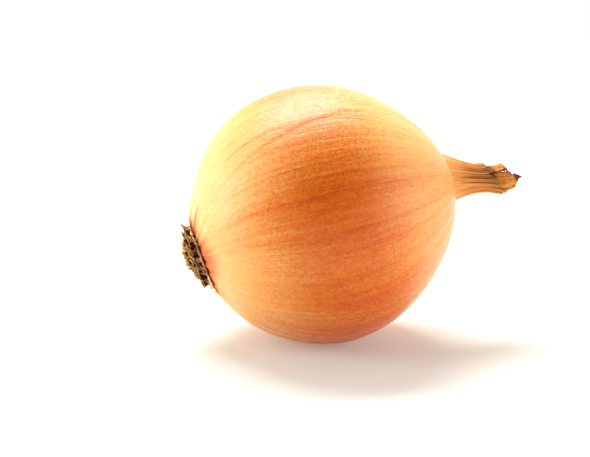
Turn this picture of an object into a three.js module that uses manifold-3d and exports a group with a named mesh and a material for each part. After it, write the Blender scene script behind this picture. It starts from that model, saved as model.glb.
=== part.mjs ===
// A yellow onion lying on its side, in millimetres, +Z up.
//
// The origin is the middle of the small flat spot that the bulb rests on. The onion grows along +X,
// from the root plate at -X to the dried neck at +X, with the neck raised a little.
//
// The pieces are the organs that the plant grew: the bulb in its dry skin, which draws into the neck
// without a seam, the corky root plate, the dried roots on it, the ragged rest of an older skin round
// the plate, and the withered leaf ends that stand out of the neck.

import * as THREE from 'three';
import { mergeVertices } from 'three/addons/utils/BufferGeometryUtils.js';
import Module from 'manifold-3d';

// ---- Driving dimensions ------------------------------------------------------------------------

const BULB_RADIUS = 34.8; // at the widest circle
const ROOT_HALF_LENGTH = 33.8; // from the widest circle to the root end
const NECK_HALF_LENGTH = 34.8; // from the widest circle to the neck end, were it round
const SHOULDER_DRAW = 3.1; // how much further the shoulder is drawn out towards the neck
const AXIS_TILT = THREE.MathUtils.degToRad(16); // how far the neck end is raised
const REST_DEPTH = 0.9; // how deep the resting spot is flattened

// The bulb didn't grow quite straight.
const ROOT_SIDE_BELLY = 0.5; // how far it stands up half-way between the widest circle and the root
const ROOT_END_DROP = 1.6; // how far the root end sits below the growing axis
const ROOT_END_TILT = 0.065; // how much the root end faces down, as a slope
const NECK_END_DROP = 0.8; // how far the neck sits below the growing axis

const NECK_BASE_RADIUS = 7.2;
const NECK_WAIST_RADIUS = 3.9;
const NECK_NARROWING = 9.5; // the length over which the neck narrows to its waist
const NECK_LENGTH = 12.6; // from the bulb to where the skin of the neck ends
const NECK_LEAN_DOWN = 0.37; // sideways travel per unit of length, towards the ground
const NECK_LEAN_BACK = 0.06; // and towards the back
const NECK_EASE = 0.6; // how gently the lean sets in
const NECK_FOLDS = 7;
const FOLD_DEPTH = 0.07; // as a share of the neck's radius

const PLATE_RADIUS = 7.9;
const PLATE_INNER = -31.6; // the plate's inner and outer faces, along the growing axis
const PLATE_OUTER = -33.5;
const PLATE_DOME = 0.9; // how far the middle of the outer face stands out
const RIM_ROLL = 0.8; // how far the skin rolls over into the dimple that holds the plate
const GAP = 0.35; // clearance between neighbouring pieces

const ROOT_RINGS = [
  // how many roots stand on each ring of the plate, and how far they lean outwards
  { count: 1, radius: 0, splay: 0.3 },
  { count: 5, radius: 2.4, splay: 0.3 },
  { count: 9, radius: 4.6, splay: 0.5 },
  { count: 13, radius: 6.7, splay: 0.8 },
];
const ROOT_THICKNESS = 1.5;
const ROOT_LENGTH = 1.8;
const ROOT_SIDES = 8;
const ROOT_STEPS = 3;

const COLLAR_INNER_RADIUS = 8.8;
const COLLAR_WIDTH = 1.1;
const COLLAR_LIFT = 0.7; // how far the free edge stands off the bulb
const COLLAR_RAGGEDNESS = 0.4;
const COLLAR_THICKNESS = 0.4;

const LEAF_ENDS = [
  // bearing round the neck in degrees, breadth, length, and how far the tip curls outwards
  { bearing: 75, breadth: 4.4, length: 3.9, curl: 0.2 },
  { bearing: 180, breadth: 3.6, length: 2.6, curl: 0.2 },
  { bearing: 285, breadth: 4.8, length: 6.6, curl: -2.8 },
];
const LEAF_END_RADIUS = 2.7; // from the middle of the neck to the middle of a leaf end
const LEAF_END_THICKNESS = 1.3;
const LEAF_END_TAPER = 0.4; // how much of its section a leaf end loses by its tip
const LEAF_END_STEPS = 5;

const ROUND_SEGMENTS = 64;
const ROOT_SIDE_STEPS = 15;
const NECK_SIDE_STEPS = 17;
const NECK_STEPS = 9;
const PLATE_SEGMENTS = 36;
const COLLAR_SEGMENTS = 48;

// ---- Materials ---------------------------------------------------------------------------------

const skin = new THREE.MeshStandardMaterial({ color: 0xe08a3c, roughness: 0.42, metalness: 0 });
const cork = new THREE.MeshStandardMaterial({ color: 0x5f452b, roughness: 0.95, metalness: 0 });
const driedRoot = new THREE.MeshStandardMaterial({ color: 0xa88352, roughness: 0.9, metalness: 0 });
const oldSkin = new THREE.MeshStandardMaterial({ color: 0xd9b27c, roughness: 0.6, metalness: 0 });
const driedLeaf = new THREE.MeshStandardMaterial({ color: 0x9c6433, roughness: 0.8, metalness: 0 });

// ---- Solids ------------------------------------------------------------------------------------

const wasm = await Module();
wasm.setup();

/** A closed geometry as a solid that can be cut. */
function toSolid(geometry) {
  const bare = geometry.clone();
  bare.deleteAttribute('normal');
  bare.deleteAttribute('uv');
  const merged = mergeVertices(bare, 1e-3);
  return new wasm.Manifold(new wasm.Mesh({
    numProp: 3,
    vertProperties: new Float32Array(merged.attributes.position.array),
    triVerts: new Uint32Array(merged.index.array),
  }));
}

/** A solid as a geometry that a mesh can show. */
function toGeometry(solid) {
  const { vertProperties, triVerts } = solid.getMesh();
  const geometry = new THREE.BufferGeometry();
  geometry.setAttribute('position', new THREE.BufferAttribute(vertProperties, 3));
  geometry.setIndex(new THREE.BufferAttribute(triVerts, 1));
  geometry.computeVertexNormals();
  return geometry;
}

function namedMesh(name, geometry, material) {
  const mesh = new THREE.Mesh(geometry, material);
  mesh.name = name;
  return mesh;
}

/** Moves every vertex of a geometry by a function that changes the vector it is given. */
function reshape(geometry, change) {
  const position = geometry.attributes.position;
  const vertex = new THREE.Vector3();
  for (let i = 0; i < position.count; i++) {
    vertex.fromBufferAttribute(position, i);
    change(vertex);
    position.setXYZ(i, vertex.x, vertex.y, vertex.z);
  }
  return geometry;
}

// ---- The growing axis --------------------------------------------------------------------------
// In the onion's own frame the growing axis is +Y and the origin is the middle of the widest circle.

/** How far towards the root end the bulb's surface has this radius. */
const rootReach = (radius) => ROOT_HALF_LENGTH * Math.sqrt(1 - (radius / BULB_RADIUS) ** 2);

/** How far towards the neck the bulb's surface has this radius, with the shoulder drawn out. */
function neckReach(radius) {
  const height = Math.sqrt(1 - (radius / BULB_RADIUS) ** 2);
  return (NECK_HALF_LENGTH + SHOULDER_DRAW * height ** 4) * height;
}

const NECK_BASE = neckReach(NECK_BASE_RADIUS);
const NECK_END = NECK_BASE + NECK_LENGTH;

/** Bends a point of the straight onion sideways to where it really grew. */
function growCrooked(vertex) {
  const rootwards = THREE.MathUtils.clamp(-vertex.y / ROOT_HALF_LENGTH, 0, 1);
  const neckwards = THREE.MathUtils.clamp(vertex.y / NECK_BASE, 0, 1);
  const belly = ROOT_SIDE_BELLY * Math.sin(Math.PI * rootwards) ** 2;
  const past = Math.max(0, vertex.y - NECK_BASE);
  const lean = past * past / (past + NECK_EASE);
  vertex.x -= NECK_LEAN_BACK * lean;
  vertex.y -= ROOT_END_TILT * vertex.z * rootwards ** 8;
  vertex.z += belly - ROOT_END_DROP * rootwards ** 8;
  vertex.z -= NECK_END_DROP * neckwards ** 4 + NECK_LEAN_DOWN * lean;
}

// ---- Bulb and neck -----------------------------------------------------------------------------

/** The neck's radius: wide at the bulb, then easing into the waist. */
function neckRadius(along) {
  const narrowed = THREE.MathUtils.clamp((along - NECK_BASE) / NECK_NARROWING, 0, 1);
  return NECK_WAIST_RADIUS + (NECK_BASE_RADIUS - NECK_WAIST_RADIUS) * (1 - narrowed) ** 1.5;
}

/** The outline from the middle of the root dimple, over the bulb, to the end of the neck. */
function bulbOutline() {
  const dimpleRadius = PLATE_RADIUS + GAP;
  const dimpleFloor = PLATE_INNER + GAP;
  const rimRadius = dimpleRadius + RIM_ROLL;
  const outline = [
    new THREE.Vector2(0, dimpleFloor),
    new THREE.Vector2(dimpleRadius, dimpleFloor),
  ];
  const rimAngle = Math.asin(rimRadius / BULB_RADIUS);
  for (let i = 0; i < ROOT_SIDE_STEPS; i++) {
    const angle = THREE.MathUtils.lerp(rimAngle, Math.PI / 2, i / ROOT_SIDE_STEPS);
    const radius = BULB_RADIUS * Math.sin(angle);
    outline.push(new THREE.Vector2(radius, -rootReach(radius)));
  }
  const neckAngle = Math.asin(NECK_BASE_RADIUS / BULB_RADIUS);
  for (let i = 0; i <= NECK_SIDE_STEPS; i++) {
    const angle = THREE.MathUtils.lerp(Math.PI / 2, neckAngle, i / NECK_SIDE_STEPS);
    const radius = BULB_RADIUS * Math.sin(angle);
    outline.push(new THREE.Vector2(radius, neckReach(radius)));
  }
  for (let i = 1; i <= NECK_STEPS; i++) {
    const along = THREE.MathUtils.lerp(NECK_BASE, NECK_END, i / NECK_STEPS);
    outline.push(new THREE.Vector2(neckRadius(along), along));
  }
  outline.push(new THREE.Vector2(0, NECK_END));
  return outline;
}

/** Pleats the neck lengthwise. */
function pleatNeck(vertex) {
  const pleated = THREE.MathUtils.smoothstep(vertex.y, NECK_BASE, NECK_BASE + NECK_NARROWING);
  const bearing = Math.atan2(vertex.z, vertex.x);
  const fold = 1 + FOLD_DEPTH * pleated * Math.cos(NECK_FOLDS * bearing);
  vertex.x *= fold;
  vertex.z *= fold;
}

/** The bulb with its neck, still round underneath. */
function growBulb() {
  const bulb = new THREE.LatheGeometry(bulbOutline(), ROUND_SEGMENTS);
  reshape(bulb, pleatNeck);
  return reshape(bulb, growCrooked);
}

/** Carries the onion's own frame to the lying onion, with the flattened spot round the origin. */
function layDown(bulb) {
  const lying = new THREE.Group();
  lying.rotation.set(0, -AXIS_TILT, -Math.PI / 2);
  lying.updateMatrix();
  const position = bulb.clone().applyMatrix4(lying.matrix).attributes.position;
  const heights = Array.from({ length: position.count }, (_, i) => position.getZ(i));
  const ground = Math.min(...heights) + REST_DEPTH;
  const flattened = heights.flatMap((height, i) => (height < ground ? [position.getX(i)] : []));
  const middle = (Math.min(...flattened) + Math.max(...flattened)) / 2;
  lying.position.set(-middle, 0, -ground);
  lying.updateMatrix();
  return lying;
}

/** The bulb less what would lie below the ground. */
function makeBulb(bulb, lying) {
  const size = 4 * BULB_RADIUS;
  const ground = new THREE.BoxGeometry(size, size, size)
    .translate(0, 0, -size / 2)
    .applyMatrix4(lying.matrix.clone().invert());
  return namedMesh('bulb', toGeometry(toSolid(bulb).subtract(toSolid(ground))), skin);
}

// ---- Root end ----------------------------------------------------------------------------------

/** Where the plate's domed outer face stands at this distance from its middle. */
const plateFace = (radius) => PLATE_OUTER - PLATE_DOME * (1 - (radius / PLATE_RADIUS) ** 2);

/** The corky plate that the skins and the roots grow from. */
function makeRootPlate() {
  const faceSteps = 6;
  const rounding = 0.5;
  const outline = [];
  for (let i = 0; i <= faceSteps; i++) {
    const radius = (PLATE_RADIUS - rounding) * i / faceSteps;
    outline.push(new THREE.Vector2(radius, plateFace(radius)));
  }
  outline.push(new THREE.Vector2(PLATE_RADIUS, PLATE_OUTER + rounding));
  outline.push(new THREE.Vector2(PLATE_RADIUS, PLATE_INNER));
  outline.push(new THREE.Vector2(0, PLATE_INNER));
  const plate = new THREE.LatheGeometry(outline, PLATE_SEGMENTS);
  return namedMesh('root_plate', reshape(plate, growCrooked), cork);
}

/** One dried root: a short thread that leaves the plate and bends outwards. */
function makeRoot(name, bearing, radius, splay, length) {
  const outwards = new THREE.Vector3(Math.cos(bearing), 0, Math.sin(bearing));
  const along = new THREE.Vector3(0, -1, 0);
  const start = outwards.clone().multiplyScalar(radius);
  start.y = plateFace(radius) - GAP;
  const bend = start.clone().addScaledVector(along, length * 0.6);
  const tip = start.clone().addScaledVector(along, length).addScaledVector(outwards, splay);
  const section = new THREE.Shape();
  for (let i = 0; i < ROOT_SIDES; i++) {
    const angle = 2 * Math.PI * i / ROOT_SIDES;
    const [x, y] = [Math.cos(angle), Math.sin(angle)].map((unit) => unit * ROOT_THICKNESS / 2);
    if (i === 0) section.moveTo(x, y);
    else section.lineTo(x, y);
  }
  const extrudePath = new THREE.QuadraticBezierCurve3(start, bend, tip);
  const thread = new THREE.ExtrudeGeometry(section, { extrudePath, steps: ROOT_STEPS });
  return namedMesh(name, reshape(thread, growCrooked), driedRoot);
}

/** All the dried roots, ring by ring, with uneven lengths. */
function makeRoots() {
  const roots = [];
  for (const { count, radius, splay } of ROOT_RINGS) {
    for (let i = 0; i < count; i++) {
      const number = roots.length + 1;
      const name = `root_${String(number).padStart(2, '0')}`;
      const bearing = 2 * Math.PI * (i + 0.5 * (count % 2)) / count;
      const length = ROOT_LENGTH * (0.85 + 0.15 * Math.sin(2.4 * number));
      roots.push(makeRoot(name, bearing, radius, splay, length));
    }
  }
  return roots;
}

/** The ragged ring that an older skin left round the root plate, its free edge standing off. */
function makeSkinCollar() {
  const steps = 4;
  const under = [];
  const over = [];
  for (let i = 0; i <= steps; i++) {
    const radius = COLLAR_INNER_RADIUS + COLLAR_WIDTH * i / steps;
    const surface = -rootReach(radius) - GAP - COLLAR_LIFT * (i / steps) ** 2;
    under.unshift(new THREE.Vector2(radius, surface));
    over.push(new THREE.Vector2(radius, surface - COLLAR_THICKNESS));
  }
  const collar = new THREE.LatheGeometry([...over, ...under, over[0]], COLLAR_SEGMENTS);
  reshape(collar, tearEdge);
  return namedMesh('skin_collar', reshape(collar, growCrooked), oldSkin);
}

/** Pulls the collar's free edge in and out round the plate. */
function tearEdge(vertex) {
  const bearing = Math.atan2(vertex.z, vertex.x);
  const radius = Math.hypot(vertex.x, vertex.z);
  const outer = (radius - COLLAR_INNER_RADIUS) / COLLAR_WIDTH;
  const tear = 0.6 * Math.sin(5 * bearing) + 0.4 * Math.sin(11 * bearing + 1);
  const torn = radius + COLLAR_RAGGEDNESS * outer * tear;
  vertex.x *= torn / radius;
  vertex.z *= torn / radius;
}

// ---- Neck end ----------------------------------------------------------------------------------

/** One withered leaf end: a tapering curved tongue that stands on the end of the leaning neck. */
function makeLeafEnd(name, { bearing, breadth, length, curl }) {
  const section = new THREE.Shape();
  section.absellipse(0, 0, LEAF_END_THICKNESS / 2, breadth / 2, 0, 2 * Math.PI);
  const tongue = new THREE.ExtrudeGeometry(section, {
    depth: length,
    steps: LEAF_END_STEPS,
    bevelEnabled: false,
    curveSegments: 5,
  });
  tongue.rotateX(-Math.PI / 2);
  reshape(tongue, (vertex) => {
    const risen = (vertex.y / length) ** 2;
    const taper = 1 - LEAF_END_TAPER * risen;
    vertex.x = LEAF_END_RADIUS + vertex.x * taper + curl * risen;
    vertex.z *= taper;
  });
  tongue.rotateY(-THREE.MathUtils.degToRad(bearing));
  tongue.translate(0, NECK_END + GAP, 0);
  return namedMesh(name, reshape(tongue, growCrooked), driedLeaf);
}

// ---- Assembly ----------------------------------------------------------------------------------

const grownBulb = growBulb();
const lying = layDown(grownBulb);
lying.add(
  makeBulb(grownBulb, lying),
  makeRootPlate(),
  makeSkinCollar(),
  ...makeRoots(),
  ...LEAF_ENDS.map((leaf, i) => makeLeafEnd(`leaf_end_${i + 1}`, leaf)),
);

const onion = new THREE.Group();
onion.add(lying);

export default onion;
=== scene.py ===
"""A yellow onion lying on its side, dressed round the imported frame.

Shapes are worked out in the onion's own frame, in millimetres: x towards the viewer's side, y along
the growing axis from the root end to the neck, z up. A bearing is the angle round that axis, from x
towards z. Each mesh is then laid down into the row frame, in metres.
"""

import logging
import math
from collections.abc import Callable
from dataclasses import dataclass
from enum import Enum

import bpy
import numpy as np
from mathutils import Matrix, Vector


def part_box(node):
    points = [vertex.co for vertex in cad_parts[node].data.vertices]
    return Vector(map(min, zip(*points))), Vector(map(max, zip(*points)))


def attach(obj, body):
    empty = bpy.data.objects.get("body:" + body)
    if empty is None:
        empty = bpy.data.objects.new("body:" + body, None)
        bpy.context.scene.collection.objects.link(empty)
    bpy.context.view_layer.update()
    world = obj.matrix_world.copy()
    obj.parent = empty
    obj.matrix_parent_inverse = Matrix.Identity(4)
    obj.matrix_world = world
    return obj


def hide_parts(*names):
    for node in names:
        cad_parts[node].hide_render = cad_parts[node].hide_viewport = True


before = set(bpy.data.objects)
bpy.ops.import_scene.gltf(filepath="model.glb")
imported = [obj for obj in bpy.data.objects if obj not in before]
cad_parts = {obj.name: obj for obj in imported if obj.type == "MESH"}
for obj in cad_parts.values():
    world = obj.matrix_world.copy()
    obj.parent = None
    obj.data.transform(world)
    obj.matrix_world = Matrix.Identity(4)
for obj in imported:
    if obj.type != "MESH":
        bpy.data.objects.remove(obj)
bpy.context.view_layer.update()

log = logging.getLogger("onion")

MM = 0.001
BODY = "root"
FULL_TURN = 2 * math.pi
GOLDEN_ANGLE = math.pi * (3 - math.sqrt(5))
Colour = tuple[float, float, float, float]
Numbers = tuple[float, ...]
Patches = tuple[Numbers, ...]


# ---- Small sums ----------------------------------------------------------------------------------


def ease(value: np.ndarray, low: float, high: float) -> np.ndarray:
    """Goes smoothly from 0 at low to 1 at high: 3t^2 - 2t^3 of the clamped share t.

    Args:
        value: what is compared.
        low: where the step starts.
        high: where the step ends; it may be less than low.

    Returns:
        An array like value, between 0 and 1.
    """
    share = np.clip((value - low) / (high - low), 0, 1)
    return share * share * (3 - 2 * share)


def hump(bearing: np.ndarray, middle: float, spread: float) -> np.ndarray:
    """A smooth hump round a bearing: exp(-(d/spread)^2), d the shorter way round, all in degrees."""
    away = (np.degrees(bearing) - middle + 180) % 360 - 180
    return np.exp(-((away / spread) ** 2))


def patches(bearing: np.ndarray, places: Patches) -> np.ndarray:
    """A sum of humps, each place a middle, a spread and a height."""
    return sum(height * hump(bearing, middle, spread) for middle, spread, height in places)


def all_round(count: int) -> np.ndarray:
    """Evenly spread bearings, from -pi up to but not including pi."""
    return np.linspace(-math.pi, math.pi, count, endpoint=False)


def growth_vector(bearing: np.ndarray, along: np.ndarray) -> np.ndarray:
    """What the fibres follow: the cosine and the sine of the bearing, and the place along."""
    return np.stack([np.cos(bearing), np.sin(bearing), along], axis=-1)


@dataclass(frozen=True)
class Ripple:
    """Seeded smooth noise over the bearing and the way along, about 1 in size.

    It is a weighted sum of cosines of whole numbers of turns, each drifting a little along the axis,
    so it closes on itself all round.
    """

    seed: int
    fewest: int
    most: int
    waves: int = 12
    drift: float = 0.02

    def height(self, bearing: np.ndarray, along: np.ndarray) -> np.ndarray:
        """The noise at each bearing, in radians, and place along, in millimetres."""
        rng = np.random.default_rng(self.seed)
        turns = rng.integers(self.fewest, self.most + 1, self.waves)
        phases = rng.uniform(0, FULL_TURN, self.waves)
        drifts = rng.normal(0, self.drift, self.waves)
        weights = rng.uniform(0.5, 1, self.waves)
        total = np.zeros(np.broadcast(bearing, along).shape)
        for turn, phase, drift, weight in zip(turns, phases, drifts, weights):
            total += weight * np.cos(turn * bearing + phase + drift * along)
        return total / math.sqrt((weights**2).sum() / 2)


@dataclass(frozen=True)
class Crumple:
    """Seeded rough noise in space, about 1 in size: cosines along random directions."""

    seed: int
    wavelength: float
    waves: int = 24

    def height(self, points: np.ndarray) -> np.ndarray:
        """The noise at each point, in millimetres: the sum of cos(k.p + phase) over the waves."""
        rng = np.random.default_rng(self.seed)
        directions = rng.normal(size=(3, self.waves))
        directions /= np.linalg.norm(directions, axis=0)
        lengths = self.wavelength * rng.uniform(0.6, 1.6, self.waves)
        phases = rng.uniform(0, FULL_TURN, self.waves)
        total = np.cos(points @ (directions * FULL_TURN / lengths) + phases).sum(-1)
        return total / math.sqrt(self.waves / 2)


# ---- The growing axis ----------------------------------------------------------------------------


@dataclass(frozen=True)
class Growth:
    """The sizes that the onion grew to, the same as in the solids, in millimetres and radians."""

    bulb_radius: float = 34.8
    root_half_length: float = 33.8
    neck_half_length: float = 34.8
    shoulder_draw: float = 3.1
    axis_tilt: float = math.radians(16)
    root_side_belly: float = 0.5
    root_end_drop: float = 1.6
    root_end_tilt: float = 0.065
    neck_end_drop: float = 0.8
    neck_base_radius: float = 7.2
    neck_waist_radius: float = 3.9
    neck_narrowing: float = 9.5
    neck_length: float = 12.6
    neck_lean_down: float = 0.37
    neck_lean_back: float = 0.06
    neck_ease: float = 0.6
    plate_radius: float = 7.9
    plate_inner: float = -31.6
    plate_outer: float = -33.5
    plate_dome: float = 0.9
    rim_roll: float = 0.8
    gap: float = 0.35

    @property
    def rim_radius(self) -> float:
        """Where the skin rolls over into the dimple that holds the root plate."""
        return self.plate_radius + self.gap + self.rim_roll

    @property
    def rim_along(self) -> float:
        """Where the rim of that dimple is, along the axis."""
        return -float(self.root_reach(np.array(self.rim_radius)))

    @property
    def neck_base(self) -> float:
        """Where the bulb ends and the neck begins, along the axis."""
        return float(self.neck_reach(np.array(self.neck_base_radius)))

    @property
    def neck_end(self) -> float:
        """Where the skin of the neck ends, along the axis."""
        return self.neck_base + self.neck_length

    def root_reach(self, radius: np.ndarray) -> np.ndarray:
        """How far towards the root the surface has this radius: a half ellipse."""
        return self.root_half_length * np.sqrt(1 - (radius / self.bulb_radius) ** 2)

    def neck_reach(self, radius: np.ndarray) -> np.ndarray:
        """How far towards the neck the surface has this radius: an ellipse drawn out by h^4."""
        height = np.sqrt(1 - (radius / self.bulb_radius) ** 2)
        return (self.neck_half_length + self.shoulder_draw * height**4) * height

    def neck_radius(self, along: np.ndarray) -> np.ndarray:
        """The neck's radius: from the base it eases into the waist as (1 - share)^1.5."""
        share = np.clip((along - self.neck_base) / self.neck_narrowing, 0, 1)
        spread = self.neck_base_radius - self.neck_waist_radius
        return self.neck_waist_radius + spread * (1 - share) ** 1.5

    def plate_face(self, radius: np.ndarray) -> np.ndarray:
        """Where the plate's domed outer face stands along the axis: a flat paraboloid."""
        return self.plate_outer - self.plate_dome * (1 - (radius / self.plate_radius) ** 2)

    def grow_crooked(self, points: np.ndarray) -> np.ndarray:
        """Bends points of the straight onion sideways to where they really grew.

        The root end sags and tilts with the eighth power of the way there, the neck end with the
        fourth, and the neck leans as p^2 / (p + ease), p the way past its base.
        """
        x, y, z = np.moveaxis(points, -1, 0)
        rootwards = np.clip(-y / self.root_half_length, 0, 1)
        neckwards = np.clip(y / self.neck_base, 0, 1)
        belly = self.root_side_belly * np.sin(math.pi * rootwards) ** 2
        past = np.maximum(0, y - self.neck_base)
        lean = past * past / (past + self.neck_ease)
        sag = self.root_end_drop * rootwards**8 + self.neck_end_drop * neckwards**4
        return np.stack(
            [
                x - self.neck_lean_back * lean,
                y - self.root_end_tilt * z * rootwards**8,
                z + belly - sag - self.neck_lean_down * lean,
            ],
            axis=-1,
        )

    def lay_down(self, points: np.ndarray) -> np.ndarray:
        """Turns points of the own frame to the lying onion, still centred on the widest circle."""
        x, y, z = np.moveaxis(self.grow_crooked(points), -1, 0)
        cos, sin = math.cos(self.axis_tilt), math.sin(self.axis_tilt)
        return np.stack([y * cos - z * sin, -x, y * sin + z * cos], axis=-1)


def round_points(bearing: np.ndarray, radius: np.ndarray, along: np.ndarray) -> np.ndarray:
    """Points at a bearing, a distance from the axis and a place along it."""
    return np.stack(
        np.broadcast_arrays(radius * np.cos(bearing), along, radius * np.sin(bearing)), axis=-1
    )


# ---- From grids to pieces ------------------------------------------------------------------------


class Ends(Enum):
    """How the first and last rows of a grid close."""

    CAPPED = "each closes to its own middle"
    JOINED = "the last row meets the first"


def fan(rim: np.ndarray, middle: int) -> np.ndarray:
    """Triangles from a middle vertex to each pair of neighbours on a rim of indices."""
    return np.stack([rim[:-1], rim[1:], np.full(len(rim) - 1, middle)], axis=-1)


def weave(
    name: str,
    points: np.ndarray,
    ends: Ends = Ends.CAPPED,
    traits: dict[str, np.ndarray] | None = None,
    turns: np.ndarray | None = None,
) -> bpy.types.Mesh:
    """Makes a closed mesh of a grid of points whose columns run all the way round.

    The faces join each point to its neighbours in the next row and column. Their order is turned
    round if the enclosed volume, the sum of p0.(p1 x p2)/6, comes out negative.

    Args:
        name: the mesh's name.
        points: rows by columns by 3, in the row frame, in metres.
        ends: how the first and last rows close.
        traits: named values for each point, one number or three.
        turns: rows by (columns + 1) map places round the piece; evenly spread if it is left out.

    Returns:
        The finished mesh, its faces outwards.
    """
    rows, columns = points.shape[:2]
    index = np.arange(rows * columns).reshape(rows, columns)
    index = np.concatenate([index, index[:, :1]], axis=1)
    across, up = np.meshgrid(np.linspace(0, 1, columns + 1), np.linspace(0, 1, rows))
    chart = np.stack([across if turns is None else turns, up], axis=-1)
    flat = points.reshape(-1, 3)
    if ends is Ends.JOINED:
        index = np.concatenate([index, index[:1]])
        chart = np.concatenate([chart, chart[:1]])
    corners = [index[:-1, :-1], index[:-1, 1:], index[1:, 1:], index[1:, :-1]]
    quads = np.stack(corners, axis=-1).reshape(-1, 4)
    places = [chart[:-1, :-1], chart[:-1, 1:], chart[1:, 1:], chart[1:, :-1]]
    quad_chart = np.stack(places, axis=-2).reshape(-1, 4, 2)
    triangles = np.zeros((0, 3), int)
    fan_chart = np.zeros((0, 3, 2))
    if ends is Ends.CAPPED:
        count = rows * columns
        flat = np.concatenate([flat, points[:1].mean(1), points[-1:].mean(1)])
        first, last = fan(index[0][::-1], count), fan(index[-1], count + 1)
        triangles = np.concatenate([first, last])
        row_charts = [chart[0][::-1], chart[-1]]
        fan_chart = np.concatenate(
            [np.stack([row[:-1], row[1:], (row[:-1] + row[1:]) / 2], axis=1) for row in row_charts]
        )
    halves = np.concatenate([quads[:, :3], quads[:, [0, 2, 3]], triangles])
    a, b, c = (flat[halves[:, k]] for k in range(3))
    if (a * np.cross(b, c)).sum() < 0:
        quads, quad_chart = quads[:, ::-1], quad_chart[:, ::-1]
        triangles, fan_chart = triangles[:, ::-1], fan_chart[:, ::-1]
    mesh = bpy.data.meshes.new(name)
    mesh.vertices.add(len(flat))
    mesh.vertices.foreach_set("co", flat.astype(np.float32).ravel())
    mesh.loops.add(quads.size + triangles.size)
    mesh.loops.foreach_set("vertex_index", np.concatenate([quads.ravel(), triangles.ravel()]))
    mesh.polygons.add(len(quads) + len(triangles))
    starts = [np.arange(len(quads)) * 4, quads.size + np.arange(len(triangles)) * 3]
    mesh.polygons.foreach_set("loop_start", np.concatenate(starts))
    mesh.update(calc_edges=True)
    mesh.polygons.foreach_set("use_smooth", np.ones(len(mesh.polygons), bool))
    layer = mesh.uv_layers.new(name="growth")
    layout = np.concatenate([quad_chart.reshape(-1, 2), fan_chart.reshape(-1, 2)])
    layer.data.foreach_set("uv", layout.astype(np.float32).ravel())
    for trait, values in (traits or {}).items():
        kind, slot = ("FLOAT", "value") if values.ndim == 2 else ("FLOAT_VECTOR", "vector")
        values = values.reshape(rows * columns, -1)
        if ends is Ends.CAPPED:
            tips = [values[:columns].mean(0, keepdims=True), values[-columns:].mean(0, keepdims=True)]
            values = np.concatenate([values, *tips])
        data = mesh.attributes.new(trait, kind, "POINT").data
        data.foreach_set(slot, values.astype(np.float32).ravel())
    mesh.validate()
    return mesh


def place_piece(
    name: str, mesh: bpy.types.Mesh, material: bpy.types.Material, node: str
) -> bpy.types.Object:
    """Puts a mesh into the scene as the piece that stands for a node of the frame.

    Args:
        name: the piece's name.
        mesh: its mesh, already in the row frame.
        material: its finish.
        node: the CAD node that it replaces.

    Returns:
        The new object, riding on the onion's one body.
    """
    piece = bpy.data.objects.new(name, mesh)
    bpy.context.scene.collection.objects.link(piece)
    mesh.materials.append(material)
    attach(piece, BODY)
    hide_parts(node)
    log.info("%s: %d vertices, stands for %s", name, len(mesh.vertices), node)
    return piece


@dataclass(frozen=True)
class Bed:
    """Where the grown onion lies: its sizes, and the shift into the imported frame."""

    growth: Growth
    shift: np.ndarray

    def settle(self, points: np.ndarray) -> np.ndarray:
        """Carries points of the own frame, in millimetres, into the row frame, in metres."""
        return self.growth.lay_down(points) * MM + self.shift

    def press_flat(self, points: np.ndarray) -> np.ndarray:
        """Settles points and presses them flat where they would go under the ground."""
        settled = self.settle(points)
        settled[..., 2] = np.maximum(settled[..., 2], 0)
        return settled


def make_bed(growth: Growth) -> Bed:
    """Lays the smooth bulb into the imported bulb's box: root end to root end, top to top."""
    slope, bearing = np.meshgrid(
        np.linspace(-math.pi / 2, 1.2, 400), np.linspace(0, FULL_TURN, 360, endpoint=False)
    )
    radius = np.maximum(growth.bulb_radius * np.cos(slope), growth.rim_radius)
    along = np.where(slope < 0, -growth.root_reach(radius), growth.neck_reach(radius))
    lying = growth.lay_down(round_points(bearing, radius, along)).reshape(-1, 3) * MM
    low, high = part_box("bulb")
    middle = (low.y + high.y) / 2 - (lying[:, 1].min() + lying[:, 1].max()) / 2
    shift = np.array([low.x - lying[:, 0].min(), middle, high.z - lying[:, 2].max()])
    log.info("the onion's middle lies at %s mm", np.round(shift / MM, 2).tolist())
    return Bed(growth, shift)


# ---- Laying nodes --------------------------------------------------------------------------------

Socket = bpy.types.NodeSocket
Value = Socket | float
Paint = Socket | Colour


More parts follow.
